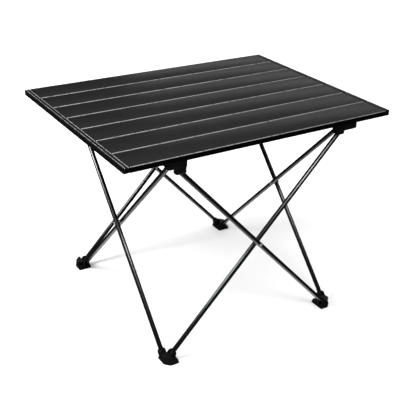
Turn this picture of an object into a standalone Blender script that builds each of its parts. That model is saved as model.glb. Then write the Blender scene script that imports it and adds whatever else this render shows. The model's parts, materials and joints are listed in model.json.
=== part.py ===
# Folding side table: a roll-up top of seven aluminium slats, set on a square frame whose four faces
# are scissors of two tubes each. Metres, +Z up. The origin is on the floor under the middle of the
# top, +X runs along the slats and -Y is the front.

import math

import bmesh
import bpy
from mathutils import Matrix, Vector

# Overall sizes
TABLE_LENGTH = 0.565          # along the slats, over the end caps
TABLE_HEIGHT = 0.420          # floor to the top face
SLAT_COUNT = 7
SLAT_WIDTH = 0.0588
SLAT_GAP = 0.0012             # between one slat and the next
TOUCH_GAP = 0.0003            # between two pieces that touch

# Slats, end caps and the elastic cords through the caps
SLAT_THICKNESS = 0.0105
SLAT_WALL = 0.0009
SLAT_CHAMBERS = 3
SLAT_EDGE_BEVEL = 0.0008
CAP_LENGTH = 0.0110           # what shows beyond the slat
CAP_PLUG_LENGTH = 0.0140      # what goes into the slat
CAP_PLUG_CLEARANCE = 0.00025
CAP_PLUG_ROOT = 0.0025        # how far a plug runs on into its cap
CORD_RADIUS = 0.0017
CORD_CLEARANCE = 0.0004
CORD_BEAD_RADIUS = 0.0027
CORD_BEAD_LENGTH = 0.0050

# Poles, their pivots and the planes they lie in
POLE_RADIUS = 0.0045
POLE_WALL = 0.0010
POLE_GAP = 0.0010             # between the two poles of a scissor
PIVOT_INSET_X = 0.0090        # from the middle of a hub to the pivot of its front or back pole
PIVOT_BELOW_HUB_TOP = 0.0182
FOOT_PIVOT_HEIGHT = 0.0140
POLE_END = 0.0035             # of a pole past its pivot
PIN_RADIUS = 0.0014
PIN_CLEARANCE = 0.0001
PIN_IN_CHEEK = 0.0007         # how far a pole's pin goes into the wall beside it

# Hubs and feet
CHEEK_WALL = 0.0012
SLOT_CLEARANCE = 0.0003       # beside a pole
SWING_CLEARANCE = 0.0005      # past the end of a pole as it turns
HUB_DEPTH = 0.0250            # top face to the bottom of the knuckles
HUB_CORE_DEPTH = 0.0125       # top face to the bottom of the solid corner
HUB_REACH_X = 0.0225          # from the middle of a hub to its inner end
HUB_REACH_Y = 0.0262
FOOT_REACH_X = 0.0148
FOOT_REACH_Y = 0.0198
FOOT_WALL_HEIGHT = 0.0155
FOOT_SOLE = 0.0068
FOOT_RIM = 0.0012             # the sole's rim stands out by this
FOOT_RIM_HEIGHT = 0.0032
KNUCKLE_RADIUS = 0.0068

# Catches under the corners of the top
CATCH_WALL = 0.0022
CATCH_DEPTH = 0.0105
CATCH_LENGTH = 0.0300
CATCH_INSET = 0.0002          # from the front or back edge of the top

# Crossing rivets
RIVET_HEAD_RADIUS = 0.0030
RIVET_HEAD_HEIGHT = 0.0011
SPACER_RADIUS = 0.0052

# Support rails under the slats
RAIL_SIZE = 0.0070
RAIL_INSET = 0.0280           # from the middle of a hub to the rail
RAIL_BELOW_HUB_TOP = 0.0015
RAIL_PIVOT_INSET = 0.0200
RAIL_FRONT_INSET = 0.0124
RAIL_CLEARANCE = 0.0003
RAIL_TAB_START = 0.0120
RAIL_TAB_END = 0.0250
RAIL_PIN_GRIP = 0.0070        # of a rail's pin inside the hub
RAIL_PIN_HEAD = 0.0010
RAIL_PIN_HEAD_RADIUS = 0.0024

# Worked out from the sizes above
SLAT_PITCH = SLAT_WIDTH + SLAT_GAP
TABLE_DEPTH = SLAT_COUNT * SLAT_PITCH - SLAT_GAP
SLAT_LENGTH = TABLE_LENGTH - 2 * (CAP_LENGTH + TOUCH_GAP)
SLAT_BOTTOM = TABLE_HEIGHT - SLAT_THICKNESS
SLAT_MIDDLE = TABLE_HEIGHT - SLAT_THICKNESS / 2
CHAMBER_WIDTH = (SLAT_WIDTH - (SLAT_CHAMBERS + 1) * SLAT_WALL) / SLAT_CHAMBERS
CHAMBER_HEIGHT = SLAT_THICKNESS - 2 * SLAT_WALL
HUB_TOP = SLAT_BOTTOM - TOUCH_GAP
HUB_PIVOT_HEIGHT = HUB_TOP - PIVOT_BELOW_HUB_TOP
POLE_OFFSET = POLE_RADIUS + POLE_GAP / 2
POLE_END_REACH = math.hypot(POLE_END, POLE_RADIUS)  # the farthest a pole's end is from its pivot
SLOT_HALF = POLE_RADIUS + SLOT_CLEARANCE
CHEEK_HALF = SLOT_HALF + CHEEK_WALL
HUB_OUTER = POLE_OFFSET + CHEEK_HALF
SLOT_START_X = PIVOT_INSET_X - POLE_END_REACH - SWING_CLEARANCE
SLOT_START_Y = HUB_OUTER
PIVOT_INSET_Y = SLOT_START_Y + POLE_END_REACH + SWING_CLEARANCE
FRAME_HALF_Y = TABLE_DEPTH / 2 - CATCH_INSET - CATCH_WALL - TOUCH_GAP - HUB_OUTER
POLE_SPAN = 2 * (FRAME_HALF_Y - PIVOT_INSET_Y)
FRAME_HALF_X = POLE_SPAN / 2 + PIVOT_INSET_X
POLE_RISE = HUB_PIVOT_HEIGHT - FOOT_PIVOT_HEIGHT
POLE_LENGTH = math.hypot(POLE_SPAN, POLE_RISE)
POLE_TILT = math.atan2(POLE_SPAN, POLE_RISE)
CROSSING_HEIGHT = (HUB_PIVOT_HEIGHT + FOOT_PIVOT_HEIGHT) / 2
PIN_REACH = SLOT_HALF + PIN_IN_CHEEK
HOLE_RADIUS = PIN_RADIUS + PIN_CLEARANCE
RAIL_TOP = HUB_TOP - RAIL_BELOW_HUB_TOP
RAIL_MIDDLE = RAIL_TOP - RAIL_SIZE / 2
RAIL_LENGTH = 2 * FRAME_HALF_Y - RAIL_PIVOT_INSET - RAIL_FRONT_INSET
RAIL_CHANNEL_HALF = RAIL_SIZE / 2 + RAIL_CLEARANCE

FAR = 0.1                     # longer than any hub or foot, for cuts that run out of one
ROUND = 16                    # sides of a pole
SMALL_ROUND = 10              # sides of a pin or a hole

# The corners by name, as the signs of their X and Y
CORNERS = {
    "front_left": (-1, -1),
    "front_right": (1, -1),
    "back_right": (1, 1),
    "back_left": (-1, 1),
}
OUTER, INNER = -1, 1
# Each pole: the corner of its hub, the corner of its foot, and the plane it lies in
POLES = {
    "front_outer": ("front_left", "front_right", OUTER),
    "front_inner": ("front_right", "front_left", INNER),
    "right_outer": ("back_right", "front_right", OUTER),
    "right_inner": ("front_right", "back_right", INNER),
    "back_outer": ("back_left", "back_right", OUTER),
    "back_inner": ("back_right", "back_left", INNER),
    "left_outer": ("back_left", "front_left", OUTER),
    "left_inner": ("front_left", "back_left", INNER),
}

for old in list(bpy.data.objects):
    bpy.data.objects.remove(old)


# ---- Materials

def material(name, colour, roughness, metallic):
    made = bpy.data.materials.new(name)
    made.use_nodes = True
    shader = made.node_tree.nodes["Principled BSDF"]
    shader.inputs["Base Color"].default_value = (*colour, 1)
    shader.inputs["Roughness"].default_value = roughness
    shader.inputs["Metallic"].default_value = metallic
    made.diffuse_color = (*colour, 1)
    return made


SLAT_FINISH = material("anodised_slat", (0.045, 0.046, 0.048), 0.42, 0.85)
TUBE_FINISH = material("black_tube", (0.012, 0.012, 0.013), 0.35, 0.6)
PLASTIC = material("black_plastic", (0.014, 0.014, 0.015), 0.5, 0.0)
STEEL = material("pin_steel", (0.42, 0.42, 0.43), 0.35, 1.0)
ELASTIC = material("elastic", (0.2, 0.2, 0.2), 0.8, 0.0)


# ---- Building blocks

def mesh_object(name, shape, finish):
    """Turn a bmesh into a named object."""
    mesh = bpy.data.meshes.new(name)
    bmesh.ops.recalc_face_normals(shape, faces=shape.faces)
    shape.to_mesh(mesh)
    shape.free()
    mesh.materials.append(finish)
    return linked_object(name, mesh)


def linked_object(name, mesh):
    made = bpy.data.objects.new(name, mesh)
    bpy.context.scene.collection.objects.link(made)
    return made


def add_box(shape, low, high):
    """Add a box between two corners, given in any order."""
    middle = (Vector(low) + Vector(high)) / 2
    size = [abs(b - a) for a, b in zip(low, high)]
    place = Matrix.Translation(middle) @ Matrix.Diagonal((*size, 1))
    return bmesh.ops.create_cube(shape, size=1, matrix=place)["verts"]


def add_rod(shape, start, end, radius, sides=SMALL_ROUND):
    """Add a round rod between two points."""
    start, end = Vector(start), Vector(end)
    along = end - start
    turn = along.to_track_quat("Z", "Y").to_matrix().to_4x4()
    place = Matrix.Translation((start + end) / 2) @ turn
    made = bmesh.ops.create_cone(
        shape, cap_ends=True, segments=sides, radius1=radius, radius2=radius,
        depth=along.length, matrix=place)
    return made["verts"]


def combine(body, shape, operation):
    """Cut a closed shape from an object's mesh, or join the two."""
    tool = mesh_object("tool", shape, body.data.materials[0])
    step = body.modifiers.new("step", "BOOLEAN")
    step.operation = operation
    step.object = tool
    bpy.context.view_layer.update()
    graph = bpy.context.evaluated_depsgraph_get()
    result = bpy.data.meshes.new_from_object(body.evaluated_get(graph))
    body.modifiers.remove(step)
    body.data = result
    bpy.data.objects.remove(tool)


def cut_box(body, low, high):
    shape = bmesh.new()
    add_box(shape, low, high)
    combine(body, shape, "DIFFERENCE")


def cut_rod(body, start, end, radius, sides=SMALL_ROUND):
    shape = bmesh.new()
    add_rod(shape, start, end, radius, sides)
    combine(body, shape, "DIFFERENCE")


def join_box(body, low, high):
    shape = bmesh.new()
    add_box(shape, low, high)
    combine(body, shape, "UNION")


def join_rod(body, start, end, radius, sides=ROUND):
    shape = bmesh.new()
    add_rod(shape, start, end, radius, sides)
    combine(body, shape, "UNION")


def turned(shape, profile, sides):
    """Spin a profile of (radius, height) points about Z. It starts and ends on the axis."""
    points = [shape.verts.new((radius, 0, height)) for radius, height in profile]
    edges = [shape.edges.new(pair) for pair in zip(points, points[1:])]
    bmesh.ops.spin(shape, geom=points + edges, axis=(0, 0, 1), cent=(0, 0, 0),
                   angle=2 * math.pi, steps=sides, use_duplicate=False)
    bmesh.ops.remove_doubles(shape, verts=shape.verts, dist=0.00001)


def smooth_round(item, angle=math.radians(35)):
    item.data.shade_smooth()
    item.data.set_sharp_from_angle(angle=angle)


def own_origin(item, origin):
    """Move an object's origin, leaving its shape where it is."""
    item.data.transform(Matrix.Translation(-Vector(origin)))
    item.location = origin


# ---- The bodies: each moving one hangs on an empty that sits on its joint's axis

BODIES = {}


def body(name, origin, parent=None):
    """Add an empty on a joint's axis, under the body that carries it."""
    anchor = bpy.data.objects.new("axis_" + name, None)
    bpy.context.scene.collection.objects.link(anchor)
    anchor.empty_display_size = 0.01
    BODIES[name] = (anchor, Vector(origin))
    anchor.location = origin
    if parent:
        anchor.parent, start = BODIES[parent]
        anchor.location = Vector(origin) - start


def attach(item, name):
    """Hang an object on a body's empty, in the same place."""
    anchor, origin = BODIES[name]
    item.parent = anchor
    item.location = Vector(item.location) - origin


def inboard(corner, u, v, z):
    """A point u along X and v along Y from the middle of a corner's hub, towards the table's middle."""
    sign_x, sign_y = CORNERS[corner]
    return Vector((sign_x * (FRAME_HALF_X - u), sign_y * (FRAME_HALF_Y - v), z))


def face_of(pole):
    return pole.split("_")[0]


def runs_along_x(pole):
    return face_of(pole) in ("front", "back")


def pole_plane(corner, along_x, at_hub):
    """How far inside the middle of a hub or foot the pole of one face lies."""
    for name, (hub, foot, side) in POLES.items():
        end = hub if at_hub else foot
        if end == corner and runs_along_x(name) == along_x:
            return side * POLE_OFFSET
    raise ValueError(corner)


def pole_pivot(corner, along_x, at_hub):
    """The point where a pole's middle line meets its pivot."""
    plane = pole_plane(corner, along_x, at_hub)
    height = HUB_PIVOT_HEIGHT if at_hub else FOOT_PIVOT_HEIGHT
    if along_x:
        return inboard(corner, PIVOT_INSET_X, plane, height)
    return inboard(corner, plane, PIVOT_INSET_Y, height)


def crossing(face):
    """The point midway between the two poles of a face where they cross."""
    return Vector({
        "front": (0, -FRAME_HALF_Y, CROSSING_HEIGHT),
        "back": (0, FRAME_HALF_Y, CROSSING_HEIGHT),
        "left": (-FRAME_HALF_X, 0, CROSSING_HEIGHT),
        "right": (FRAME_HALF_X, 0, CROSSING_HEIGHT),
    }[face])


def slat_middle(number):
    """The Y of a slat, counted from the front."""
    return (number - (SLAT_COUNT + 1) / 2) * SLAT_PITCH


def hinge_line(front_number):
    """The line on the top face between a slat and the next one behind it."""
    return Vector((0, slat_middle(front_number) + SLAT_PITCH / 2, TABLE_HEIGHT))


CENTRE_SLAT = (SLAT_COUNT + 1) // 2


def make_bodies():
    body("foot_front_left", pole_pivot("front_left", False, False))
    body("pole_left_outer", pole_pivot("front_left", False, False), "foot_front_left")
    body("hub_back_left", pole_pivot("back_left", False, True), "pole_left_outer")
    body("pole_left_inner", crossing("left"), "pole_left_outer")
    body("foot_back_left", pole_pivot("back_left", False, False), "pole_left_inner")
    body("pole_back_outer", pole_pivot("back_left", True, True), "hub_back_left")
    body("pole_back_inner", crossing("back"), "pole_back_outer")
    body("pole_front_inner", pole_pivot("front_left", True, False), "foot_front_left")
    body("hub_front_right", pole_pivot("front_right", True, True), "pole_front_inner")
    body("pole_front_outer", crossing("front"), "pole_front_inner")
    body("hub_front_left", pole_pivot("front_left", True, True), "pole_front_outer")
    body("foot_front_right", pole_pivot("front_right", True, False), "pole_front_outer")
    body("pole_right_inner", pole_pivot("front_right", False, True), "hub_front_right")
    body("foot_back_right", pole_pivot("back_right", False, False), "pole_right_inner")
    body("pole_right_outer", crossing("right"), "pole_right_inner")
    body("hub_back_right", pole_pivot("back_right", False, True), "pole_right_outer")
    body(f"slat_{CENTRE_SLAT}", (0, 0, SLAT_MIDDLE), "hub_back_left")
    for number in range(CENTRE_SLAT - 1, 0, -1):
        body(f"slat_{number}", hinge_line(number), f"slat_{number + 1}")
    for number in range(CENTRE_SLAT + 1, SLAT_COUNT + 1):
        body(f"slat_{number}", hinge_line(number - 1), f"slat_{number - 1}")
    for side in ("left", "right"):
        pivot = inboard(f"back_{side}", RAIL_INSET, RAIL_PIVOT_INSET, RAIL_MIDDLE)
        body(f"rail_{side}", pivot, f"hub_back_{side}")


# ---- The top: slats, end caps, elastic cords and catches

def chamber_middles():
    step = CHAMBER_WIDTH + SLAT_WALL
    return [(index - (SLAT_CHAMBERS - 1) / 2) * step for index in range(SLAT_CHAMBERS)]


def bevelled_bar(low, high):
    """A bar along X with its two top edges bevelled."""
    shape = bmesh.new()
    add_box(shape, low, high)
    top = max(low[2], high[2])
    edges = [
        edge for edge in shape.edges
        if all(abs(vert.co.z - top) < TOUCH_GAP for vert in edge.verts)
        and abs(edge.verts[0].co.y - edge.verts[1].co.y) < TOUCH_GAP
    ]
    bmesh.ops.bevel(shape, geom=edges, offset=SLAT_EDGE_BEVEL, segments=2, profile=0.5,
                    affect="EDGES")
    return shape


def slat_mesh():
    half = Vector((SLAT_LENGTH, SLAT_WIDTH, SLAT_THICKNESS)) / 2
    item = mesh_object("slat", bevelled_bar(-half, half), SLAT_FINISH)
    for middle in chamber_middles():
        cut_box(item,
                (-FAR - half.x, middle - CHAMBER_WIDTH / 2, -CHAMBER_HEIGHT / 2),
                (FAR + half.x, middle + CHAMBER_WIDTH / 2, CHAMBER_HEIGHT / 2))
    return taken_mesh(item)


def taken_mesh(item):
    """Keep an object's mesh and drop the object."""
    mesh = item.data
    bpy.data.objects.remove(item)
    return mesh


def cap_mesh(cord_to):
    """An end cap for the right end of a slat. Its origin is in the middle of the slat's end.

    The cord hole runs both ways, or from the middle towards +1 or -1 along Y, where the cord ends
    in a bead.
    """
    half_width = SLAT_WIDTH / 2
    half_height = SLAT_THICKNESS / 2
    shape = bevelled_bar((TOUCH_GAP, -half_width, -half_height),
                         (TOUCH_GAP + CAP_LENGTH, half_width, half_height))
    item = mesh_object("cap", shape, PLASTIC)
    plug_half_width = CHAMBER_WIDTH / 2 - CAP_PLUG_CLEARANCE
    plug_half_height = CHAMBER_HEIGHT / 2 - CAP_PLUG_CLEARANCE
    for middle in chamber_middles():
        join_box(item,
                 (-CAP_PLUG_LENGTH, middle - plug_half_width, -plug_half_height),
                 (CAP_PLUG_ROOT, middle + plug_half_width, plug_half_height))
    cord_x = TOUCH_GAP + CAP_LENGTH / 2
    low = 0 if cord_to == 1 else -FAR
    high = 0 if cord_to == -1 else FAR
    cut_rod(item, (cord_x, low, 0), (cord_x, high, 0), CORD_RADIUS + CORD_CLEARANCE)
    if cord_to:
        room = CORD_BEAD_RADIUS + CORD_CLEARANCE
        reach = CORD_BEAD_LENGTH / 2 + CORD_CLEARANCE
        cut_box(item, (-FAR, -reach, -room), (cord_x + room, reach, room))
    return taken_mesh(item)


def make_slats():
    plain = slat_mesh()
    through = cap_mesh(0)
    ends = {1: cap_mesh(1), -1: cap_mesh(-1)}
    for number in range(1, SLAT_COUNT + 1):
        middle = slat_middle(number)
        slat = linked_object(f"slat_{number}", plain)
        slat.location = (0, middle, SLAT_MIDDLE)
        attach(slat, f"slat_{number}")
        towards = {1: 1, SLAT_COUNT: -1}.get(number)
        for side, sign in (("left", -1), ("right", 1)):
            mesh = ends[sign * towards] if towards else through
            cap = linked_object(f"cap_{side}_{number}", mesh)
            cap.location = (sign * SLAT_LENGTH / 2, middle, SLAT_MIDDLE)
            cap.rotation_euler = (0, 0, 0 if sign > 0 else math.pi)
            attach(cap, f"slat_{number}")


def make_cords():
    """Each cord runs through the caps of all the slats, and ends in a bead in the outer two."""
    end = slat_middle(SLAT_COUNT)
    bead = CORD_BEAD_LENGTH / 2
    profile = [
        (0, -end - bead), (CORD_BEAD_RADIUS, -end - bead), (CORD_BEAD_RADIUS, -end + bead),
        (CORD_RADIUS, -end + bead), (CORD_RADIUS, end - bead), (CORD_BEAD_RADIUS, end - bead),
        (CORD_BEAD_RADIUS, end + bead), (0, end + bead),
    ]
    for side, sign in (("left", -1), ("right", 1)):
        shape = bmesh.new()
        turned(shape, profile, SMALL_ROUND)
        cord = mesh_object(f"elastic_cord_{side}", shape, ELASTIC)
        smooth_round(cord)
        cord.rotation_euler = (math.pi / 2, 0, 0)
        cord.location = (sign * (SLAT_LENGTH / 2 + TOUCH_GAP + CAP_LENGTH / 2), 0, SLAT_MIDDLE)
        attach(cord, f"slat_{CENTRE_SLAT}")


def make_catches():
    """Each catch is a wall round the outer corner of a hub, fixed under the slat."""
    inner = -HUB_OUTER - TOUCH_GAP
    outer = inner - CATCH_WALL
    end = outer + CATCH_LENGTH
    bottom = HUB_TOP - CATCH_DEPTH
    for corner, (_, sign_y) in CORNERS.items():
        shape = bmesh.new()
        add_box(shape, inboard(corner, outer, outer, bottom), inboard(corner, end, end, HUB_TOP))
        item = mesh_object(f"catch_{corner}", shape, PLASTIC)
        cut_box(item, inboard(corner, inner, inner, 0), inboard(corner, FAR, FAR, TABLE_HEIGHT))
        number = 1 if sign_y < 0 else SLAT_COUNT
        own_origin(item, inboard(corner, inner, inner, HUB_TOP))
        attach(item, f"slat_{number}")


# ---- The frame: hubs, feet, poles, pins and rivets

def arm_planes(corner, at_hub):
    return pole_plane(corner, True, at_hub), pole_plane(corner, False, at_hub)


def cut_pin_holes(item, corner, at_hub):
    """Holes for the pins of the two poles, from the outside into the wall on each pole's far side."""
    height = HUB_PIVOT_HEIGHT if at_hub else FOOT_PIVOT_HEIGHT
    plane_x, plane_y = arm_planes(corner, at_hub)
    outside = -HUB_OUTER - TOUCH_GAP
    end = PIN_REACH + PIN_CLEARANCE
    cut_rod(item, inboard(corner, PIVOT_INSET_X, outside, height),
            inboard(corner, PIVOT_INSET_X, plane_x + end, height), HOLE_RADIUS)
    cut_rod(item, inboard(corner, outside, PIVOT_INSET_Y, height),
            inboard(corner, plane_y + end, PIVOT_INSET_Y, height), HOLE_RADIUS)


def make_hub(corner):
    """A hub: a top plate, a solid corner, and a slotted arm for the pole of each face."""
    plane_x, plane_y = arm_planes(corner, True)
    core_bottom = HUB_TOP - HUB_CORE_DEPTH
    knuckle_bottom = HUB_TOP - HUB_DEPTH
    shape = bmesh.new()
    add_box(shape, inboard(corner, -HUB_OUTER, -HUB_OUTER, core_bottom),
            inboard(corner, HUB_REACH_X, HUB_REACH_Y, HUB_TOP))
    item = mesh_object(f"hub_{corner}", shape, PLASTIC)
    join_box(item, inboard(corner, SLOT_START_X - CHEEK_WALL, plane_x - CHEEK_HALF, knuckle_bottom),
             inboard(corner, HUB_REACH_X, plane_x + CHEEK_HALF, HUB_TOP - CHEEK_WALL))
    join_box(item, inboard(corner, plane_y - CHEEK_HALF, SLOT_START_Y - CHEEK_WALL, knuckle_bottom),
             inboard(corner, plane_y + CHEEK_HALF, HUB_REACH_Y, HUB_TOP - CHEEK_WALL))
    tab_end = RAIL_INSET + RAIL_CHANNEL_HALF + CHEEK_WALL
    join_box(item, inboard(corner, HUB_REACH_X - CHEEK_WALL, RAIL_TAB_START, RAIL_MIDDLE),
             inboard(corner, tab_end, RAIL_TAB_END, HUB_TOP))
    slot_top = HUB_PIVOT_HEIGHT + POLE_END_REACH + SWING_CLEARANCE
    cut_box(item, inboard(corner, SLOT_START_X, plane_x - SLOT_HALF, 0),
            inboard(corner, FAR, plane_x + SLOT_HALF, slot_top))
    cut_box(item, inboard(corner, plane_y - SLOT_HALF, SLOT_START_Y, 0),
            inboard(corner, plane_y + SLOT_HALF, FAR, slot_top))
    cut_box(item, inboard(corner, RAIL_INSET - RAIL_CHANNEL_HALF, -FAR, 0),
            inboard(corner, RAIL_INSET + RAIL_CHANNEL_HALF, FAR, RAIL_TOP + RAIL_CLEARANCE))
    cut_pin_holes(item, corner, True)
    if corner.startswith("back"):
        cut_rod(item, inboard(corner, HUB_REACH_X - RAIL_PIN_GRIP, RAIL_PIVOT_INSET, RAIL_MIDDLE),
                inboard(corner, FAR, RAIL_PIVOT_INSET, RAIL_MIDDLE), HOLE_RADIUS)
    own_origin(item, BODIES[f"hub_{corner}"][1])
    attach(item, f"hub_{corner}")


def make_foot(corner):
    """A foot: a flat sole with a rim, a solid corner, and a slotted arm for each pole."""
    plane_x, plane_y = arm_planes(corner, False)
    rim = FOOT_RIM
    shape = bmesh.new()
    add_box(shape, inboard(corner, -HUB_OUTER, -HUB_OUTER, 0),
            inboard(corner, FOOT_REACH_X, FOOT_REACH_Y, FOOT_SOLE))
    item = mesh_object(f"foot_{corner}", shape, PLASTIC)
    join_box(item, inboard(corner, -HUB_OUTER - rim, -HUB_OUTER - rim, 0),
             inboard(corner, FOOT_REACH_X + rim, FOOT_REACH_Y + rim, FOOT_RIM_HEIGHT))
    join_box(item, inboard(corner, -HUB_OUTER, -HUB_OUTER, rim),
             inboard(corner, SLOT_START_X, SLOT_START_Y, FOOT_WALL_HEIGHT))
    low_x, high_x = plane_x - CHEEK_HALF, plane_x + CHEEK_HALF
    low_y, high_y = plane_y - CHEEK_HALF, plane_y + CHEEK_HALF
    join_box(item, inboard(corner, -HUB_OUTER, low_x, rim),
             inboard(corner, FOOT_REACH_X, high_x, FOOT_WALL_HEIGHT))
    join_box(item, inboard(corner, low_y, -HUB_OUTER, rim),
             inboard(corner, high_y, FOOT_REACH_Y, FOOT_WALL_HEIGHT))
    join_rod(item, inboard(corner, PIVOT_INSET_X, low_x, FOOT_PIVOT_HEIGHT),
             inboard(corner, PIVOT_INSET_X, high_x, FOOT_PIVOT_HEIGHT), KNUCKLE_RADIUS)
    join_rod(item, inboard(corner, low_y, PIVOT_INSET_Y, FOOT_PIVOT_HEIGHT),
             inboard(corner, high_y, PIVOT_INSET_Y, FOOT_PIVOT_HEIGHT), KNUCKLE_RADIUS)
    slot_bottom = FOOT_PIVOT_HEIGHT - POLE_END_REACH - SWING_CLEARANCE
    cut_box(item, inboard(corner, SLOT_START_X, plane_x - SLOT_HALF, slot_bottom),
            inboard(corner, FAR, plane_x + SLOT_HALF, FAR))
    cut_box(item, inboard(corner, plane_y - SLOT_HALF, SLOT_START_Y, slot_bottom),
            inboard(corner, plane_y + SLOT_HALF, FAR, FAR))
    cut_pin_holes(item, corner, False)
    own_origin(item, BODIES[f"foot_{corner}"][1])
    attach(item, f"foot_{corner}")


def pole_mesh():
    """A tube about its middle, along Z, with a pin along Y near each end and a rivet hole."""
    shape = bmesh.new()
    half = POLE_LENGTH / 2 + POLE_END
    add_rod(shape, (0, 0, -half), (0, 0, half), POLE_RADIUS, ROUND)
    item = mesh_object("pole", shape, TUBE_FINISH)
    cut_rod(item, (0, 0, -half - FAR), (0, 0, half + FAR), POLE_RADIUS - POLE_WALL, ROUND)
    cut_rod(item, (0, -FAR, 0), (0, FAR, 0), HOLE_RADIUS)
    for height in (-POLE_LENGTH / 2, POLE_LENGTH / 2):
        join_rod(item, (0, -PIN_REACH, height), (0, PIN_REACH, height), PIN_RADIUS, SMALL_ROUND)
    smooth_round(item)
    return taken_mesh(item)


def make_poles():
    shared = pole_mesh()
    for name, (hub, foot, _) in POLES.items():
        along_x = runs_along_x(name)
        top = pole_pivot(hub, along_x, True)
        bottom = pole_pivot(foot, along_x, False)
        pole = linked_object(f"pole_{name}", shared)
        if along_x:
            tilt = math.copysign(POLE_TILT, top.x - bottom.x)
            pole.rotation_euler = (0, tilt, 0)
        else:
            tilt = math.copysign(POLE_TILT, bottom.y - top.y)
            turn = Matrix.Rotation(tilt, 3, "X") @ Matrix.Rotation(math.pi / 2, 3, "Z")
            pole.rotation_euler = turn.to_euler()
        pole.location = (top + bottom) / 2
        attach(pole, f"pole_{name}")


def make_rivets():
    """A rivet through each crossing, with a spacer between the poles and a head on each side."""
    half_gap = POLE_GAP / 2 - TOUCH_GAP
    head = POLE_OFFSET + POLE_RADIUS + TOUCH_GAP
    top = head + RIVET_HEAD_HEIGHT
    half_profile = [
        (SPACER_RADIUS, half_gap), (PIN_RADIUS, half_gap), (PIN_RADIUS, head),
        (RIVET_HEAD_RADIUS, head), (RIVET_HEAD_RADIUS, head + RIVET_HEAD_HEIGHT / 2),
        (RIVET_HEAD_RADIUS / 2, top), (0, top),
    ]
    profile = [(radius, -height) for radius, height in reversed(half_profile)] + half_profile
    carriers = {"front": "pole_front_inner", "back": "pole_back_outer",
                "left": "pole_left_outer", "right": "pole_right_inner"}
    for face, carrier in carriers.items():
        shape = bmesh.new()
        turned(shape, profile, SMALL_ROUND)
        rivet = mesh_object(f"rivet_{face}", shape, STEEL)
        smooth_round(rivet)
        along_y = face in ("front", "back")
        rivet.rotation_euler = (math.pi / 2, 0, 0) if along_y else (0, math.pi / 2, 0)
        rivet.location = crossing(face)
        attach(rivet, carrier)


# ---- The support rails

def make_rail(side):
    """A flat bar, rounded at its pivot, from a back hub to the clip on the front hub."""
    corner = f"back_{side}"
    half = RAIL_SIZE / 2
    low, high = RAIL_INSET - half, RAIL_INSET + half
    shape = bmesh.new()
    add_box(shape, inboard(corner, low, RAIL_PIVOT_INSET, RAIL_MIDDLE - half),
            inboard(corner, high, RAIL_PIVOT_INSET + RAIL_LENGTH, RAIL_MIDDLE + half))
    item = mesh_object(f"support_rail_{side}", shape, TUBE_FINISH)
    join_rod(item, inboard(corner, low, RAIL_PIVOT_INSET, RAIL_MIDDLE),
             inboard(corner, high, RAIL_PIVOT_INSET, RAIL_MIDDLE), half)
    cut_rod(item, inboard(corner, -FAR, RAIL_PIVOT_INSET, RAIL_MIDDLE),
            inboard(corner, FAR, RAIL_PIVOT_INSET, RAIL_MIDDLE), HOLE_RADIUS)
    own_origin(item, inboard(corner, RAIL_INSET, RAIL_PIVOT_INSET, RAIL_MIDDLE))
    attach(item, f"rail_{side}")


def make_rail_pin(side):
    """A headed pin through the hub's tab and the rail."""
    corner = f"back_{side}"
    tab_end = RAIL_INSET + RAIL_CHANNEL_HALF + CHEEK_WALL + TOUCH_GAP
    shape = bmesh.new()
    add_rod(shape, inboard(corner, HUB_REACH_X - RAIL_PIN_GRIP + TOUCH_GAP, RAIL_PIVOT_INSET, RAIL_MIDDLE),
            inboard(corner, tab_end + RAIL_PIN_HEAD / 2, RAIL_PIVOT_INSET, RAIL_MIDDLE),
            PIN_RADIUS)
    item = mesh_object(f"rail_pin_{side}", shape, STEEL)
    join_rod(item, inboard(corner, tab_end, RAIL_PIVOT_INSET, RAIL_MIDDLE),
             inboard(corner, tab_end + RAIL_PIN_HEAD, RAIL_PIVOT_INSET, RAIL_MIDDLE),
             RAIL_PIN_HEAD_RADIUS, SMALL_ROUND)
    own_origin(item, inboard(corner, RAIL_INSET, RAIL_PIVOT_INSET, RAIL_MIDDLE))
    attach(item, f"hub_{corner}")


make_bodies()
make_slats()
make_cords()
make_catches()
for corner_name in CORNERS:
    make_hub(corner_name)
    make_foot(corner_name)
make_poles()
make_rivets()
for side_name in ("left", "right"):
    make_rail(side_name)
    make_rail_pin(side_name)
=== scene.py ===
import json
import math

import bpy
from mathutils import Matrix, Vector


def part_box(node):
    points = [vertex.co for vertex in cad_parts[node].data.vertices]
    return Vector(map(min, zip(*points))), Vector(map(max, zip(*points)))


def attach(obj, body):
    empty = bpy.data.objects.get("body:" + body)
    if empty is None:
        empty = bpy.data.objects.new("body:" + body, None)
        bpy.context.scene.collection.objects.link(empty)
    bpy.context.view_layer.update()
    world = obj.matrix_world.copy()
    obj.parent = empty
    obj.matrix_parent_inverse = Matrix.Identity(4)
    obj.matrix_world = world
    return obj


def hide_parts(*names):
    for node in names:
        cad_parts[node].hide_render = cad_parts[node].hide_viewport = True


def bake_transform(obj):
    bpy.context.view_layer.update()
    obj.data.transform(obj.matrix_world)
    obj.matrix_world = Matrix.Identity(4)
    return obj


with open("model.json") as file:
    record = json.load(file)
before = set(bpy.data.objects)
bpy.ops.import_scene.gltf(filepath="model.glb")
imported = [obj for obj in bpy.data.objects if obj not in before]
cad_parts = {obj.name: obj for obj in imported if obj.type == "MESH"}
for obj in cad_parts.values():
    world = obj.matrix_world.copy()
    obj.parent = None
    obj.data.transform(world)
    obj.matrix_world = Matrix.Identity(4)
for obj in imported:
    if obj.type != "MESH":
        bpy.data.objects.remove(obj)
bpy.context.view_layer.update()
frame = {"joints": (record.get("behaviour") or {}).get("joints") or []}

# Places that the pieces share, read from the frame
jointPlace = {j["name"]: Vector(j["pos_m"]) for j in frame["joints"] if j["type"] == "hinge"}
frameHalf = Vector((abs(jointPlace["left_crossing"].x), abs(jointPlace["front_crossing"].y)))
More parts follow.
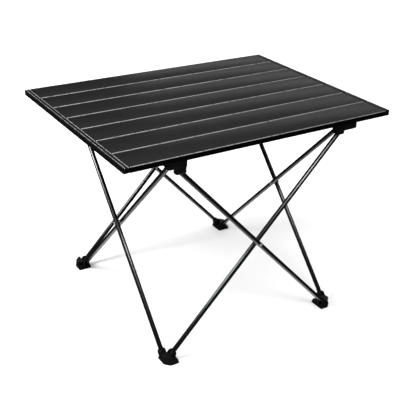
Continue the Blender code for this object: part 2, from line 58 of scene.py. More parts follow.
pivotHalf = abs(jointPlace["hub_front_left_pivot"].x)
hubPivot = jointPlace["hub_front_left_pivot"].z
footPivot = jointPlace["front_inner_foot_pivot"].z
pivotInset = Vector((frameHalf.x - pivotHalf, frameHalf.y - pivotHalf))

slatCount = 7
slatLow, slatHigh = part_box("slat_1")
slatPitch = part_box("slat_2")[0].y - slatLow.y
slatHalf = (slatHigh.y - slatLow.y) / 2
cutPast = 0.01  # how far a cutting tool runs past the piece

corners = {"front_left": (-1, -1), "front_right": (1, -1), "back_right": (1, 1), "back_left": (-1, 1)}
poles = {  # each pole's hub corner and foot corner
    "front_outer": ("front_left", "front_right"), "front_inner": ("front_right", "front_left"),
    "right_outer": ("back_right", "front_right"), "right_inner": ("front_right", "back_right"),
    "back_outer": ("back_left", "back_right"), "back_inner": ("back_right", "back_left"),
    "left_outer": ("back_left", "front_left"), "left_inner": ("front_left", "back_left"),
}


# Shading

class Wire:
    def __init__(self, graph, socket):
        self.graph = graph
        self.socket = socket

    def maths(self, kind, *others):
        return self.graph.node("ShaderNodeMath", [self, *others], operation=kind)

    def __add__(self, other):
        return self.maths("ADD", other)

    def __sub__(self, other):
        return self.maths("SUBTRACT", other)

    def __rsub__(self, other):
        return self.graph.node("ShaderNodeMath", [other, self], operation="SUBTRACT")

    def __mul__(self, other):
        return self.maths("MULTIPLY", other)

    def __truediv__(self, other):
        return self.maths("DIVIDE", other)

    def __rtruediv__(self, other):
        return self.graph.node("ShaderNodeMath", [other, self], operation="DIVIDE")

    __radd__ = __add__
    __rmul__ = __mul__

    def sin(self):
        return self.maths("SINE")

    def abs(self):
        return self.maths("ABSOLUTE")

    def fract(self):
        return self.maths("FRACT")

    def high(self, other):
        return self.maths("MAXIMUM", other)

    def ramp(self, start, end):
        return self.graph.node("ShaderNodeMapRange", [self, start, end, 0, 1],
                               interpolation_type="SMOOTHSTEP")

    def axes(self):
        return [self.graph.node("ShaderNodeSeparateXYZ", [self], out=i) for i in range(3)]


class Graph:
    def __init__(self, owner):
        owner.use_nodes = True
        self.owner = owner
        self.tree = owner.node_tree

    def node(self, kind, inputs, out=0, **settings):
        made = self.tree.nodes.new(kind)
        for key, value in settings.items():
            setattr(made, key, value)
        for slot, value in inputs.items() if isinstance(inputs, dict) else enumerate(inputs):
            self.plug(made.inputs[slot], value)
        return Wire(self, made.outputs[out])

    def plug(self, slot, value):
        if isinstance(value, Wire):
            self.tree.links.new(value.socket, slot)
        elif value is not None:
            slot.default_value = (*value, 1) if slot.type == "RGBA" else value


class Finish(Graph):
    def __init__(self, name):
        super().__init__(bpy.data.materials.new(name))
        self.shader = self.tree.nodes["Principled BSDF"].inputs
        self.place = self.node("ShaderNodeTexCoord", [], out=3)

    def stretched(self, x, y, z):
        return self.node("ShaderNodeVectorMath", [self.place, (x, y, z)], operation="MULTIPLY")

    def noise(self, where, scale, detail=3, rough=0.5):
        return self.node("ShaderNodeTexNoise", [where, None, scale, detail, rough])

    def cells(self, where, scale):
        return self.node("ShaderNodeTexVoronoi", [where, None, scale])

    def colours(self, amount, first, second):
        return self.node("ShaderNodeMix", {0: amount, 6: first, 7: second}, out=2, data_type="RGBA")

    def bump(self, height, distance, strength):
        return self.node("ShaderNodeBump", {"Strength": strength, "Distance": distance, "Height": height})

    def finish(self, **inputs):
        for name, value in inputs.items():
            self.plug(self.shader[name.replace("_", " ")], value)
        return self.owner


# Slat colours: the "side" colour is painted shade for the slats' side faces, and the light edge colour is a
# painted highlight along the bevels of the top face.
slatLook = {
    "colour": (0.0075, 0.0075, 0.0078), "streak": (0.0155, 0.0155, 0.016), "side": (0.0012, 0.0012, 0.0013),
    "wearAndHighlight": (0.34, 0.34, 0.345), "dust": (0.09, 0.09, 0.09), "dustScale": 140, "dustRamp": (0.6, 0.8),
    "dustShare": 0.12, "streakScale": 900, "streakRamp": (0.3, 0.7), "streakShare": 0.6, "streakRough": 0.22,
    "streakHeight": 0.9, "broadScale": 22, "broadRough": 0.10, "ribPitch": 0.0016, "ribShare": 0.25,
    "ribHeight": 0.5, "depth": 0.00006, "bump": 0.8, "metal": 0.30, "edgeMetal": 0.4, "rough": 0.31,
    "specular": 0.03, "breakScale": 130, "breakRamp": (0.34, 0.54), "edgeLeast": 0.3, "edgeSpread": 0.6,
    "edgeBand": (0.0014, 0.0008),  # in from the slat's long edge
    "topBand": (0.0011, 0.0007),  # down from the top face
}


# 1 on the top face and 0 down the sides: it sets where the slats' painted shade begins and keeps the painted
#                                         highlight lines on the top.
def topOnly(z):
    return z.ramp(*(slatHigh.z - depth for depth in slatLook["topBand"]))


def slatMaterial():
    look = slatLook
    g = Finish("slatMetal")
    x, y, z = g.place.axes()
    streak = g.noise(g.stretched(0.02, 1, 1), look["streakScale"], 4, 0.6)
    broad = g.noise(g.stretched(0.25, 1, 1), look["broadScale"], 3)
    ribs = ((y / look["ribPitch"]) * (2 * math.pi)).sin() * 0.5 + 0.5
    # Painted highlight: a light, broken line along the bevel of each slat's long top edge. The tubes' light
    # colour for real scuffs shares the same key.
    across = ((y / slatPitch + 0.5).fract() - 0.5).abs() * slatPitch  # 0 at each slat's middle
    breaks = g.noise(g.stretched(1, 0.7, 0.1), look["breakScale"], 5, 0.7).ramp(*look["breakRamp"])
    band = across.ramp(*(slatHalf - inset for inset in look["edgeBand"]))
    edge = band * (look["edgeLeast"] + breaks * look["edgeSpread"])
    mixed = streak.ramp(*look["streakRamp"]) * look["streakShare"] + ribs * look["ribShare"]
    base = g.colours(mixed, look["colour"], look["streak"])
    dust = g.noise(g.place, look["dustScale"], 6, 0.75).ramp(*look["dustRamp"]) * look["dustShare"]
    base = g.colours(dust, base, look["dust"])
    # Painted shade: every face below the top takes the much darker side colour, and only the top is metallic.
    top = topOnly(z)
    base = g.colours(top, look["side"], g.colours(edge, base, look["wearAndHighlight"]))
    rough = look["rough"] + (streak - 0.5) * look["streakRough"] + (broad - 0.5) * look["broadRough"]
    height = ribs * look["ribHeight"] + streak * look["streakHeight"]
    g.shader["Specular IOR Level"].default_value = look["specular"]
    metal = (edge * look["edgeMetal"] + look["metal"]) * top
    return g.finish(Base_Color=base, Roughness=rough, Metallic=metal,
                    Normal=g.bump(height, look["depth"], look["bump"]))


tubeLook = {
    "colour": (0.0010, 0.0010, 0.0011), "light": (0.002, 0.002, 0.0021), "wearAndHighlight": (0.06, 0.06, 0.06),
    "mottleScale": 260, "mottleRough": 0.16, "fineScale": 2400, "fineHeight": 0.1, "scuffScale": 75,
    "scuffRamp": (0.66, 0.78), "scuffShare": 0.22, "scuffRough": 0.12, "scuffMetal": 0.2, "rough": 0.21,
    "coat": 0.04, "coatSpread": 0.06, "coatRough": 0.22, "specular": 0.75, "depth": 0.00002, "bump": 0.4,
}


def tubeMaterial():
    look = tubeLook
    g = Finish("blackTube")
    mottle = g.noise(g.place, look["mottleScale"], 5, 0.6)
    fine = g.noise(g.place, look["fineScale"], 2, 0.5)
    scuff = g.noise(g.stretched(1, 1, 0.25), look["scuffScale"], 6, 0.8).ramp(*look["scuffRamp"])
    base = g.colours(mottle, look["colour"], look["light"])
    base = g.colours(scuff * look["scuffShare"], base, look["wearAndHighlight"])
    rough = look["rough"] + (mottle - 0.5) * look["mottleRough"] + scuff * look["scuffRough"]
    g.shader["Coat Roughness"].default_value = look["coatRough"]
    g.shader["Specular IOR Level"].default_value = look["specular"]
    return g.finish(Base_Color=base, Roughness=rough, Metallic=scuff * look["scuffMetal"],
                    Coat_Weight=look["coat"] + (mottle - 0.5) * look["coatSpread"],
                    Normal=g.bump(fine * look["fineHeight"] + mottle, look["depth"], look["bump"]))


# Painted highlights: two thin, broken light lines across the tops of the left end caps, one by the slat joint
# and one near the cap's outer edge.
paintedLineLook = {"at": (0.0025, 0.0089), "width": 0.0006, "fade": 0.6, "scale": 110, "ramp": (0.38, 0.55),
            "least": 0.4, "spread": 0.6}


def paintedHighlightLines(g):
    x, y, z = g.place.axes()
    breaks = g.noise(g.stretched(1, 1, 0.1), paintedLineLook["scale"], 4, 0.7).ramp(*paintedLineLook["ramp"])
    width = paintedLineLook["width"]
    first, second = ((x - (slatLow.x - offset)).abs().ramp(width, width * paintedLineLook["fade"])
                     for offset in paintedLineLook["at"])
    return first.high(second) * (breaks * paintedLineLook["spread"] + paintedLineLook["least"]) * topOnly(z)


plasticLook = {
    "rubbed": (0.05, 0.05, 0.05), "rubbedScale": 170, "rubbedRamp": (0.62, 0.76), "rubbedShare": 0.10,
    "rubbedRough": 0.08, "cloudScale": 95, "cloudShare": 0.7, "cloudRough": 0.2, "pebbleShare": 0.3,
    "pebbleHeight": 0.7, "flowScale": 420, "flowHeight": 0.5, "specular": 0.14, "depth": 0.00006, "bump": 0.6,
    "hub": {"dark": (0.0012, 0.0012, 0.0013), "light": (0.004, 0.004, 0.0043), "rough": 0.38, "grain": 1400},
    "foot": {"dark": (0.0012, 0.0012, 0.0013), "light": (0.0045, 0.0045, 0.0046), "rough": 0.40,
             "grain": 1100},
    "cap": {"dark": (0.0012, 0.0012, 0.0013), "light": (0.004, 0.004, 0.0042), "rough": 0.36, "grain": 1600},
}


def plasticMaterial(piece, lined=False):
    look = plasticLook
    own = look[piece]
    g = Finish(f"{piece}Plastic")
    pebbles = g.cells(g.place, own["grain"])
    cloud = g.noise(g.place, look["cloudScale"], 4, 0.6)
    flow = g.noise(g.stretched(1, 1, 0.35), look["flowScale"], 3)
    rubbed = g.noise(g.place, look["rubbedScale"], 6, 0.8).ramp(*look["rubbedRamp"])
    base = g.colours(cloud * look["cloudShare"] + pebbles * look["pebbleShare"], own["dark"], own["light"])
    base = g.colours(rubbed * look["rubbedShare"], base, look["rubbed"])
    if lined:
        # Painted highlight lines on the cap tops, in the slats' light edge colour.
        base = g.colours(paintedHighlightLines(g), base, slatLook["wearAndHighlight"])
    rough = own["rough"] + (cloud - 0.5) * look["cloudRough"] - rubbed * look["rubbedRough"]
    height = pebbles * look["pebbleHeight"] + flow * look["flowHeight"]
    g.shader["Specular IOR Level"].default_value = look["specular"]
    return g.finish(Base_Color=base, Roughness=rough, Normal=g.bump(height, look["depth"], look["bump"]))


steelLook = {
    "dark": (0.22, 0.22, 0.225), "light": (0.42, 0.42, 0.43), "turnedScale": 1500, "stainScale": 400,
    "rough": 0.28, "turnedRough": 0.2, "metal": 0.3, "stainMetal": 0.2, "depth": 0.00003, "bump": 0.5,
}


def steelMaterial():
    look = steelLook
    g = Finish("pinSteel")
    turned = g.noise(g.place, look["turnedScale"], 3, 0.6)
    stain = g.noise(g.place, look["stainScale"], 4, 0.7)
    return g.finish(Base_Color=g.colours(stain, look["dark"], look["light"]),
                    Roughness=look["rough"] + turned * look["turnedRough"],
                    Metallic=look["metal"] + stain * look["stainMetal"],
                    Normal=g.bump(turned, look["depth"], look["bump"]))


cordLook = {
    "dark": (0.22, 0.22, 0.22), "light": (0.62, 0.62, 0.61), "weaveAlong": 2600, "weaveAround": 1400,
    "weaveShare": 0.7, "fibreScale": 3200, "fibreShare": 0.3, "fibreHeight": 0.4, "rough": 0.78,
    "fibreRough": 0.15, "depth": 0.00018, "bump": 0.9,
}


def cordMaterial():
    look = cordLook
    g = Finish("braidedElastic")
    x, y, z = g.place.axes()
    along, around = y * look["weaveAlong"], z * look["weaveAround"]
    weave = ((along + around).sin() * (along - around).sin()) * 0.5 + 0.5
    fibre = g.noise(g.place, look["fibreScale"], 2)
    base = g.colours(weave * look["weaveShare"] + fibre * look["fibreShare"], look["dark"], look["light"])
    return g.finish(Base_Color=base, Roughness=look["rough"] + fibre * look["fibreRough"],
                    Normal=g.bump(weave + fibre * look["fibreHeight"], look["depth"], look["bump"]))


slatMetal = slatMaterial()
blackTube = tubeMaterial()
hubPlastic = plasticMaterial("hub")
footPlastic = plasticMaterial("foot")
capPlastic = plasticMaterial("cap", lined=True)
pinSteel = steelMaterial()
braidedElastic = cordMaterial()
print("materials done")


# Modelling

def deselect():
    bpy.ops.object.select_all(action="DESELECT")


def activate(item):
    deselect()
    item.select_set(True)
    bpy.context.view_layer.objects.active = item


def settle(item, name):
    activate(item)
    item.name = name
    bpy.ops.object.transform_apply(location=True, rotation=True, scale=True)
    return item


def block(name, first, second):
    deselect()
    middle = (Vector(first) + Vector(second)) / 2
    bpy.ops.mesh.primitive_cube_add(size=1, location=middle)
    item = bpy.context.object
    item.scale = [abs(a - b) for a, b in zip(first, second)]
    return settle(item, name)


def rod(name, start, end, radius, sides=32):
    deselect()
    start, end = Vector(start), Vector(end)
    along = end - start
    bpy.ops.mesh.primitive_cylinder_add(vertices=sides, radius=radius, depth=along.length,
                                        location=(start + end) / 2,
                                        rotation=along.to_track_quat("Z", "Y").to_euler())
    return settle(bpy.context.object, name)


def modify(item, kind, **settings):
    activate(item)
    step = item.modifiers.new("step", kind)
    for key, value in settings.items():
        setattr(step, key, value)
    bpy.ops.object.modifier_apply(modifier=step.name)
    return item


def soften(item, width, segments=2):
    return modify(item, "BEVEL", width=width, segments=segments, limit_method="ANGLE",
                  angle_limit=math.radians(50))


def combine(item, tool, kind):
    modify(item, "BOOLEAN", operation=kind, solver="EXACT", object=tool)
    bpy.data.objects.remove(tool)
    return item


def carve(item, tool):
    return combine(item, tool, "DIFFERENCE")


def weld(item, tool):
    return combine(item, tool, "UNION")


def turnAbout(item, angle, axis, centre):
    activate(item)
    bpy.ops.object.mode_set(mode="EDIT")
    bpy.ops.mesh.select_all(action="SELECT")
    bpy.ops.transform.rotate(value=angle, orient_axis=axis, center_override=tuple(centre))
    bpy.ops.object.mode_set(mode="OBJECT")
    return item


def cover(item, material, angle):
    activate(item)
    bpy.ops.object.shade_smooth_by_angle(angle=math.radians(angle))
    item.data.materials.clear()
    item.data.materials.append(material)


def complete(item, material, body, nodes, angle=32):
    activate(item)
    bpy.ops.object.mode_set(mode="EDIT")
    bpy.ops.mesh.select_all(action="SELECT")
    bpy.ops.mesh.remove_doubles(threshold=0.000002)
    bpy.ops.mesh.normals_make_consistent(inside=False)
    bpy.ops.object.mode_set(mode="OBJECT")
    cover(item, material, angle)
    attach(item, body)
    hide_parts(*nodes)


def copyAt(item, name, shift):
    activate(item)
    bpy.ops.object.duplicate()
    made = bpy.context.object
    made.location = shift
    return settle(made, name)


def tidyName(start, place):
    return start + place.title().replace("_", "")


def at(corner, u, v, z):  # u and v run inwards from the frame's corner
    signX, signY = corners[corner]
    return Vector((signX * (frameHalf.x - u), signY * (frameHalf.y - v), z))


# Slats

slatShape = {"edge": 0.0009, "grooveDeep": 0.0005, "grooveHigh": 0.0009, "grooveDrop": 0.0048,
             "underWide": 0.0024, "underDeep": 0.0007}


def makeSlatPattern():  # modelled about y = 0, then copied to each slat
    shift = Vector((0, (slatLow.y + slatHigh.y) / 2, 0))
    pattern = block("slatPattern", slatLow - shift, slatHigh - shift)
    soften(pattern, slatShape["edge"], 3)
    startX, endX = slatLow.x - cutPast, slatHigh.x + cutPast
    grooveTop = slatHigh.z - slatShape["grooveDrop"]
    for sign in (-1, 1):
        carve(pattern, block("groove", (startX, sign * (slatHalf - slatShape["grooveDeep"]), grooveTop),
                             (endX, sign * (slatHalf + cutPast), grooveTop - slatShape["grooveHigh"])))
        under = sign * slatHalf / 3
        half = slatShape["underWide"] / 2
        carve(pattern, block("groove", (startX, under - half, slatLow.z - cutPast),
                             (endX, under + half, slatLow.z + slatShape["underDeep"])))
    return pattern


slatPattern = makeSlatPattern()
for number in range(1, slatCount + 1):
    low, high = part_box(f"slat_{number}")
    slat = copyAt(slatPattern, f"slatBar{number}", (0, (low.y + high.y) / 2, 0))
    complete(slat, slatMetal, f"slat_{number}", [f"slat_{number}"])
bpy.data.objects.remove(slatPattern)
print("slats done")


# End caps

capShape = {"edge": 0.0013, "line": 0.0006, "lineDeep": 0.00045, "lineAt": (0.0028, 0.0082), "gap": 0.0003,
            "endLine": (0.0009, 0.0003), "endDeep": 0.0006, "endInset": 0.004, "hole": 0.0021,
            "holeSides": 20}


def makeCapPattern(sign):
    low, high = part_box("cap_right_4" if sign > 0 else "cap_left_4")
    slatEdge = slatHigh.x if sign > 0 else slatLow.x
    outer = high.x if sign > 0 else low.x
    inner = slatEdge + sign * capShape["gap"]
    cap = block("capPattern", (inner, low.y, low.z), (outer, high.y, high.z))
    soften(cap, capShape["edge"], 3)
    for offset in capShape["lineAt"]:
        start = inner + sign * offset
        carve(cap, block("line", (start, low.y - cutPast, high.z - capShape["lineDeep"]),
                         (start + sign * capShape["line"], high.y + cutPast, high.z + cutPast)))
    middle = (low.z + high.z) / 2
    above, below = capShape["endLine"]
    inset = capShape["endInset"]
    carve(cap, block("line", (outer - sign * capShape["endDeep"], low.y + inset, middle + above),
                     (outer + sign * cutPast, high.y - inset, middle - below)))
    cordAt = (inner + outer) / 2
    carve(cap, rod("hole", (cordAt, low.y - cutPast, middle), (cordAt, high.y + cutPast, middle),
                   capShape["hole"], capShape["holeSides"]))
    return cap


for side, sign in (("left", -1), ("right", 1)):
    capPattern = makeCapPattern(sign)
    for number in range(1, slatCount + 1):
        low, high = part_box(f"cap_{side}_{number}")
        cap = copyAt(capPattern, f"endCap{side.title()}{number}", (0, (low.y + high.y) / 2, 0))
        complete(cap, capPlastic, f"slat_{number}", [f"cap_{side}_{number}"])
    bpy.data.objects.remove(capPattern)
print("caps done")


# Elastic cords, one length from the middle of each slat to the next

cordShape = {"radius": 0.0017, "sides": 14, "cuts": 8, "bend": 0.0042, "smooth": 40}


def makeCordLength(side, number):
    low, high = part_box(f"elastic_cord_{side}")
    cordX, cordZ = (low.x + high.x) / 2, (low.z + high.z) / 2
    slatStart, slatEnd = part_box(f"slat_{number}")
    start = (slatStart.y + slatEnd.y) / 2
    end = start + slatPitch
    gap = (start + end) / 2
    bend = cordShape["bend"]
    length = rod(f"elastic{side.title()}{number}", (cordX, start, cordZ), (cordX, end, cordZ),
                 cordShape["radius"], cordShape["sides"])
    bpy.ops.object.mode_set(mode="EDIT")
    for cutNumber in range(cordShape["cuts"] + 1):  # rings close together where the cord bends
        bpy.ops.mesh.select_all(action="SELECT")
        share = cutNumber / cordShape["cuts"] * 2 - 1
        bpy.ops.mesh.bisect(plane_co=(cordX, gap + share * bend, cordZ), plane_no=(0, 1, 0))
    bpy.ops.object.mode_set(mode="OBJECT")
    cover(length, braidedElastic, cordShape["smooth"])
    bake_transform(length)
    if number == (slatCount + 1) // 2:
        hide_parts(f"elastic_cord_{side}")


for side in ("left", "right"):
    for number in range(1, slatCount):
        makeCordLength(side, number)
print("cords done")


# Catches under the corners of the top

catchShape = {"edge": 0.0007, "wall": 0.0022, "room": 0.1, "slotHigh": 0.0040, "slotWide": 0.0009,
              "slotTilt": 0.42, "slotDeep": 0.0007, "slotAt": 0.006, "slotSpread": 0.0016, "slotRise": 0.001}


def makeCatch(corner):
    signX, signY = corners[corner]
    low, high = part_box(f"catch_{corner}")
    wall, room = catchShape["wall"], catchShape["room"]
    outX = low.x if signX < 0 else high.x
    outY = low.y if signY < 0 else high.y
    inX, inY = outX - signX * wall, outY - signY * wall
    catch = block(tidyName("catch", corner), low, high)
    carve(catch, block("room", (inX, inY, low.z - cutPast),
                       (inX - signX * room, inY - signY * room, high.z + cutPast)))
    soften(catch, catchShape["edge"], 2)
    reach = Vector((catchShape["slotWide"] / 2, catchShape["slotDeep"], catchShape["slotHigh"] / 2))
    for turn in (-1, 1):
        inset = catchShape["slotAt"] + turn * catchShape["slotSpread"]
        place = Vector((outX - signX * inset, outY, (low.z + high.z) / 2 + catchShape["slotRise"]))
        slotTool = block("slot", place - reach, place + reach)
        turnAbout(slotTool, turn * catchShape["slotTilt"], "Y", place)
        carve(catch, slotTool)
    complete(catch, capPlastic, f"slat_{1 if signY < 0 else slatCount}", [f"catch_{corner}"])


for corner in corners:
    makeCatch(corner)
print("catches done")


# Hubs and feet, each with two slotted arms that hold a pole's end

armShape = {"plane": 0.005, "slot": 0.0048, "wall": 0.0012, "reachOut": 0.011, "behind": 0.0062,
            "pinHole": 0.00155, "pinDeep": 0.0058, "pinPast": 0.001, "pinSides": 20, "toolFar": 0.06,
            "toolLow": 0.3}


def armPlane(corner, alongX, atHub):
    for name, (hub, foot) in poles.items():
        faceAlongX = name.split("_")[0] in ("front", "back")
        if (hub if atHub else foot) == corner and faceAlongX == alongX:
            return armShape["plane"] * (-1 if name.endswith("outer") else 1)
    return 0


class Arm:
    def __init__(self, corner, alongX, atHub, reach):
        axis = 0 if alongX else 1
        self.corner = corner
        self.alongX = alongX
        self.plane = armPlane(corner, alongX, atHub)
        self.pivot = pivotInset[axis]
        self.start = self.pivot - armShape["behind"]
        self.reach = reach[axis]

    def place(self, along, across, z):
        u, v = (along, across) if self.alongX else (across, along)
        return at(self.corner, u, v, z)

    def carveSlot(self, item, fromZ, toZ):
        carve(item, block("slot", self.place(self.start, self.plane - armShape["slot"], fromZ),
                          self.place(armShape["toolFar"], self.plane + armShape["slot"], toZ)))

    def drillPin(self, item, height):
        outer = -armShape["reachOut"] - armShape["pinPast"]
        carve(item, rod("drill", self.place(self.pivot, outer, height),
                        self.place(self.pivot, self.plane + armShape["pinDeep"], height),
                        armShape["pinHole"], armShape["pinSides"]))


hubShape = {"coreDeep": 0.0125, "knuckleDeep": 0.0250, "reach": (0.0225, 0.0262), "edge": 0.0012,
            "knuckleEdge": 0.0034, "knuckleDrop": 0.0014, "knuckleInset": 0.0002, "tab": (0.0120, 0.0250),
            "tabBehind": 0.003, "tabDrop": 0.0001, "tabEdge": 0.0006, "slotRise": 0.0061, "railRoom": 0.0038,
            "railInset": 0.0280, "railRoof": 0.0012, "railPast": -0.05}


def makeHub(corner):
    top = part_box(f"hub_{corner}")[1].z
    arms = [Arm(corner, alongX, True, hubShape["reach"]) for alongX in (True, False)]
    half = armShape["slot"] + armShape["wall"]
    outer = -armShape["reachOut"]
    reachX, reachY = hubShape["reach"]
    hub = block(tidyName("hub", corner), at(corner, outer, outer, top - hubShape["coreDeep"]),
                at(corner, reachX, reachY, top))
    soften(hub, hubShape["edge"], 3)
    for arm in arms:
        knuckle = block("arm", arm.place(arm.start - armShape["wall"], arm.plane - half,
                                         top - hubShape["knuckleDeep"]),
                        arm.place(arm.reach - hubShape["knuckleInset"], arm.plane + half,
                                  top - hubShape["knuckleDrop"]))
        weld(hub, soften(knuckle, hubShape["knuckleEdge"], 4))
    railLow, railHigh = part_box("support_rail_left")
    railRoom, railInset = hubShape["railRoom"], hubShape["railInset"]
    tabStart, tabEnd = hubShape["tab"]
    tab = block("tab", at(corner, reachX - hubShape["tabBehind"], tabStart, (railLow.z + railHigh.z) / 2),
                at(corner, railInset + railRoom + armShape["wall"], tabEnd, top - hubShape["tabDrop"]))
    weld(hub, soften(tab, hubShape["tabEdge"], 2))
    for arm in arms:
        arm.carveSlot(hub, armShape["toolLow"], hubPivot + hubShape["slotRise"])
    carve(hub, block("channel", at(corner, railInset - railRoom, hubShape["railPast"], armShape["toolLow"]),
                     at(corner, railInset + railRoom, armShape["toolFar"], top - hubShape["railRoof"])))
    for arm in arms:
        arm.drillPin(hub, hubPivot)
    complete(hub, hubPlastic, f"hub_{corner}", [f"hub_{corner}"])


footShape = {"sole": 0.0068, "reach": (0.0148, 0.0198), "rim": 0.0012, "rimHigh": 0.0032, "rimEdge": 0.0006,
             "bodyLow": 0.0012, "wallHigh": 0.0155, "wallDrop": 0.0003, "wallShort": 0.0004,
             "wallInset": 0.00004, "wallEdge": 0.0005, "knuckle": 0.0068, "knuckleInset": 0.0001,
             "knuckleSides": 40, "slotDrop": 0.0061, "corner": 0.0032, "cut": 0.0100, "heelLow": 0.0013,
             "heelInset": 0.00003, "heelRound": 0.0010, "roundSteps": 5, "same": 0.0001}


def bevelUprights(item, width, segments, near=None):
    activate(item)
    bpy.ops.object.mode_set(mode="EDIT")
    bpy.ops.mesh.select_mode(type="EDGE")
    bpy.ops.mesh.select_all(action="DESELECT")
    bpy.ops.object.mode_set(mode="OBJECT")
    for edge in item.data.edges:
        first, second = (item.data.vertices[i].co for i in edge.vertices)
        upright = (first - second).xy.length < footShape["same"]
        edge.select = upright and (near is None or (first - near).xy.length < footShape["same"])
    bpy.ops.object.mode_set(mode="EDIT")
    bpy.ops.mesh.bevel(offset=width, segments=segments, profile=0.5, affect="EDGES")
    bpy.ops.mesh.select_mode(type="VERT")
    bpy.ops.object.mode_set(mode="OBJECT")
    return item


def footBlock(name, corner, outer, reach, low, high, radius):  # its outer corner is cut flat
    item = block(name, at(corner, outer, outer, low), at(corner, *reach, high))
    bevelUprights(item, footShape["cut"], 1, at(corner, outer, outer, 0))
    return bevelUprights(item, radius, footShape["roundSteps"])


def makeFoot(corner):
    arms = [Arm(corner, alongX, False, footShape["reach"]) for alongX in (True, False)]
    half = armShape["slot"] + armShape["wall"]
    outer = -armShape["reachOut"]
    rim, low = footShape["rim"], footShape["bodyLow"]
    rimReach = [reach + rim for reach in footShape["reach"]]
    foot = footBlock(tidyName("foot", corner), corner, outer - rim, rimReach, 0, footShape["rimHigh"],
                     footShape["corner"])
    soften(foot, footShape["rimEdge"], 2)
    weld(foot, footBlock("sole", corner, outer, footShape["reach"], low, footShape["sole"],
                         footShape["corner"] - rim))
    heel = footBlock("heel", corner, outer + footShape["heelInset"], [arm.start for arm in arms],
                     footShape["heelLow"], footShape["wallHigh"], footShape["heelRound"])
    weld(foot, soften(heel, footShape["heelRound"] / 2, 2))
    for arm in arms:
        wall = block("wall", arm.place(arm.start - armShape["wall"],
                                       arm.plane - half + footShape["wallInset"], low),
                     arm.place(arm.reach - footShape["wallShort"], arm.plane + half,
                               footShape["wallHigh"] - footShape["wallDrop"]))
        weld(foot, soften(wall, footShape["wallEdge"], 2))
    reach = half - footShape["knuckleInset"]
    for arm in arms:
        knuckle = rod("knuckle", arm.place(arm.pivot, arm.plane - reach, footPivot),
                      arm.place(arm.pivot, arm.plane + reach, footPivot),
                      footShape["knuckle"], footShape["knuckleSides"])
        weld(foot, soften(knuckle, footShape["wallEdge"], 2))
    for arm in arms:
        arm.carveSlot(foot, footPivot - footShape["slotDrop"], armShape["toolFar"])
    for arm in arms:
        arm.drillPin(foot, footPivot)
    complete(foot, footPlastic, f"foot_{corner}", [f"foot_{corner}"])


for corner in corners:
    makeHub(corner)
    makeFoot(corner)
print("hubs and feet done")


# Poles

poleShape = {"radius": 0.0045, "over": 0.0035, "wall": 0.001, "rim": 0.0004, "pin": 0.0014,
             "pinReach": 0.0055, "pinSides": 20, "rivetHole": 0.0016, "holeReach": 0.02, "boreOver": 3,
             "sides": 48}


def makePole(name, hub, foot):
    low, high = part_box(f"pole_{name}")
    middle = (low + high) / 2
    hubX, hubY = corners[hub]
    if name.split("_")[0] in ("front", "back"):
        top = Vector((hubX * pivotHalf, middle.y, hubPivot))
        bottom = Vector((-hubX * pivotHalf, middle.y, footPivot))
        side = Vector((0, 1, 0))
    else:
        top = Vector((middle.x, hubY * pivotHalf, hubPivot))
        bottom = Vector((middle.x, -hubY * pivotHalf, footPivot))
        side = Vector((1, 0, 0))
    over = (top - bottom).normalized() * poleShape["over"]
    pole = rod(tidyName("tube", name), bottom - over, top + over, poleShape["radius"], poleShape["sides"])
    past = over * poleShape["boreOver"]
    carve(pole, rod("bore", bottom - past, top + past, poleShape["radius"] - poleShape["wall"],
                    poleShape["sides"]))
    soften(pole, poleShape["rim"], 2)
    pinReach = side * poleShape["pinReach"]
    for end in (top, bottom):
        weld(pole, rod("pin", end - pinReach, end + pinReach, poleShape["pin"], poleShape["pinSides"]))
    crossing = (top + bottom) / 2
    holeReach = side * poleShape["holeReach"]
    carve(pole, rod("rivetHole", crossing - holeReach, crossing + holeReach, poleShape["rivetHole"],
                    poleShape["pinSides"]))
    complete(pole, blackTube, f"pole_{name}", [f"pole_{name}"])


for name, (hub, foot) in poles.items():
    makePole(name, hub, foot)
print("poles done")


# Crossing rivets

rivetShape = {"head": 0.0029, "headSides": 32, "headGap": 0.00005, "headEdge": 0.0005, "shank": 0.0014,
              "shankSides": 24, "washer": 0.0051, "washerHalf": 0.0002, "dome": 0.0011}


def makeRivet(face, body):
    low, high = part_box(f"rivet_{face}")
    middle = (low + high) / 2
    size = high - low
    side = Vector((0, 1, 0)) if face in ("front", "back") else Vector((1, 0, 0))
    reach = max(size.x, size.y) / 2
    shankReach = side * (reach - rivetShape["dome"])
    headReach = side * (reach - rivetShape["headGap"])
    washerHalf = side * rivetShape["washerHalf"]
    rivet = rod(f"rivet{face.title()}", middle - shankReach, middle + shankReach, rivetShape["shank"],
                rivetShape["shankSides"])
    weld(rivet, rod("washer", middle - washerHalf, middle + washerHalf, rivetShape["washer"]))
    for sign in (-1, 1):
        head = rod("head", middle + sign * shankReach, middle + sign * headReach, rivetShape["head"],
                   rivetShape["headSides"])
        weld(rivet, soften(head, rivetShape["headEdge"], 3))
    complete(rivet, pinSteel, body, [f"rivet_{face}"])


for face, body in {"front": "pole_front_inner", "back": "pole_back_outer",
                   "left": "pole_left_outer", "right": "pole_right_inner"}.items():
    makeRivet(face, body)
print("rivets done")


# Support rails and their pins

railShape = {"edge": 0.0012, "lineDeep": 0.0006, "lineWide": 0.002, "lineInset": 0.01, "hole": 0.0016,
             "holeReach": 0.02, "holeSides": 20, "pin": 0.0014, "pinSides": 24, "head": 0.0023,
             "headHigh": 0.001, "headEdge": 0.0003, "headSides": 28}


def makeRail(side, pivot):
    low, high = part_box(f"support_rail_{side}")
    middleX = (low.x + high.x) / 2
    half, inset = railShape["lineWide"] / 2, railShape["lineInset"]
    rail = block(f"rail{side.title()}", low, high)
    soften(rail, railShape["edge"], 3)
    carve(rail, block("line", (middleX - half, low.y + inset, low.z - cutPast),
                      (middleX + half, high.y - inset, low.z + railShape["lineDeep"])))
    holeReach = Vector((railShape["holeReach"], 0, 0))
    carve(rail, rod("hole", pivot - holeReach, pivot + holeReach, railShape["hole"], railShape["holeSides"]))
    complete(rail, blackTube, f"rail_{side}", [f"support_rail_{side}"])


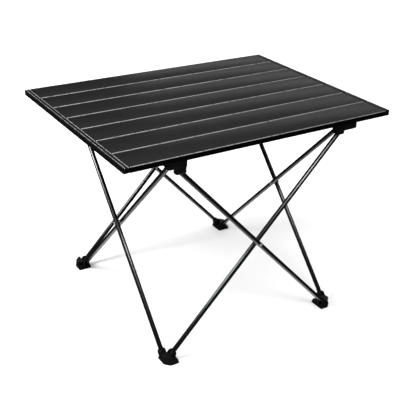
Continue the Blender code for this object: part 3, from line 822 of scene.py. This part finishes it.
def makeRailPin(side, sign, pivot):
    low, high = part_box(f"rail_pin_{side}")
    innerX, outerX = (high.x, low.x) if sign < 0 else (low.x, high.x)
    inner = Vector((innerX, pivot.y, pivot.z))
    pin = rod(f"railPin{side.title()}", inner, (outerX, pivot.y, pivot.z), railShape["pin"],
              railShape["pinSides"])
    head = rod("head", inner, inner + Vector((sign * railShape["headHigh"], 0, 0)), railShape["head"],
               railShape["headSides"])
    weld(pin, soften(head, railShape["headEdge"], 2))
    complete(pin, pinSteel, f"hub_back_{side}", [f"rail_pin_{side}"])


for side, sign in (("left", -1), ("right", 1)):
    pivot = jointPlace[f"rail_{side}_swing"]
    makeRail(side, pivot)
    makeRailPin(side, sign, pivot)
print("rails done")


# Floor, light and camera

floorLook = {"colour": (0.79, 0.79, 0.79), "grain": (0.82, 0.82, 0.82), "toneScale": 3, "fineScale": 60,
             "rough": 0.85, "toneRough": 0.1, "specular": 0.1, "glow": 0.02, "size": 30}


def makeFloor():
    look = floorLook
    deselect()
    bpy.ops.mesh.primitive_plane_add(size=look["size"], location=(0, 0, 0))
    floor = bpy.context.object
    floor.name = "studioFloor"
    g = Finish("paleFloor")
    tone = g.noise(g.place, look["toneScale"], 3)
    fine = g.noise(g.place, look["fineScale"], 3)
    base = g.colours((tone + fine) * 0.5, look["colour"], look["grain"])
    g.shader["Specular IOR Level"].default_value = look["specular"]
    g.shader["Emission Color"].default_value = (1, 1, 1, 1)
    g.shader["Emission Strength"].default_value = look["glow"]
    floor.data.materials.append(g.finish(Base_Color=base, Roughness=look["rough"] + tone * look["toneRough"]))
    floor.visible_glossy = False


white = (1, 1, 1)
skyLook = {"above": (0.42, 0.9, 0.03, 1.9), "below": (-0.70, -0.90, 0, 1.5)}  # from, to, strength at each


def makeWorld():
    g = Graph(bpy.data.worlds.new("studio"))
    height = g.node("ShaderNodeTexCoord", []).axes()[2]
    above, below = (g.node("ShaderNodeMapRange", [height, *skyLook[part]], interpolation_type="SMOOTHSTEP")
                    for part in ("above", "below"))
    light = g.node("ShaderNodeBackground", [white, above + below])
    seen = g.node("ShaderNodeBackground", [white, 1])
    fromCamera = g.node("ShaderNodeLightPath", [])
    choice = g.node("ShaderNodeMixShader", [fromCamera, light, seen])
    g.plug(g.tree.nodes["World Output"].inputs["Surface"], choice)
    bpy.context.scene.world = g.owner


panels = {
    "keyPanel": {"place": (-2.3, 0.35, 2.1), "aim": (0, 0, 0.25), "size": (0.8, 1.7), "power": 110},
    "backPanel": {"place": (2.3, 2.3, 0.95), "aim": (0.1, 0.1, 0.42), "size": (2.6, 0.6), "power": 4},
    "frontPanel": {"place": (-0.9, -2.4, 3.1), "aim": (0, 0, 0.2), "size": (1.2, 0.8), "power": 80},
}


def softLight(name, panel):
    deselect()
    aim = Vector(panel["aim"]) - Vector(panel["place"])
    bpy.ops.object.light_add(type="AREA", location=panel["place"],
                             rotation=aim.to_track_quat("-Z", "Y").to_euler())
    light = bpy.context.object
    light.name = name
    light.data.shape = "RECTANGLE"
    light.data.size, light.data.size_y = panel["size"]
    light.data.energy = panel["power"]


cameraLook = {"place": (-0.75846, -1.15078, 0.90082), "turn": (63.1718, -1.8509, -32.3508), "lens": 67.832,
              "sensor": 36, "far": 60}


def makeCamera():
    deselect()
    bpy.ops.object.camera_add(location=cameraLook["place"],
                              rotation=[math.radians(angle) for angle in cameraLook["turn"]])
    camera = bpy.context.object
    camera.data.sensor_width = cameraLook["sensor"]
    camera.data.lens = cameraLook["lens"]
    camera.data.clip_end = cameraLook["far"]
    bpy.context.scene.camera = camera


makeFloor()
makeWorld()
for name, panel in panels.items():
    softLight(name, panel)
bpy.context.scene.view_settings.view_transform = "Standard"
makeCamera()
print("stage done")
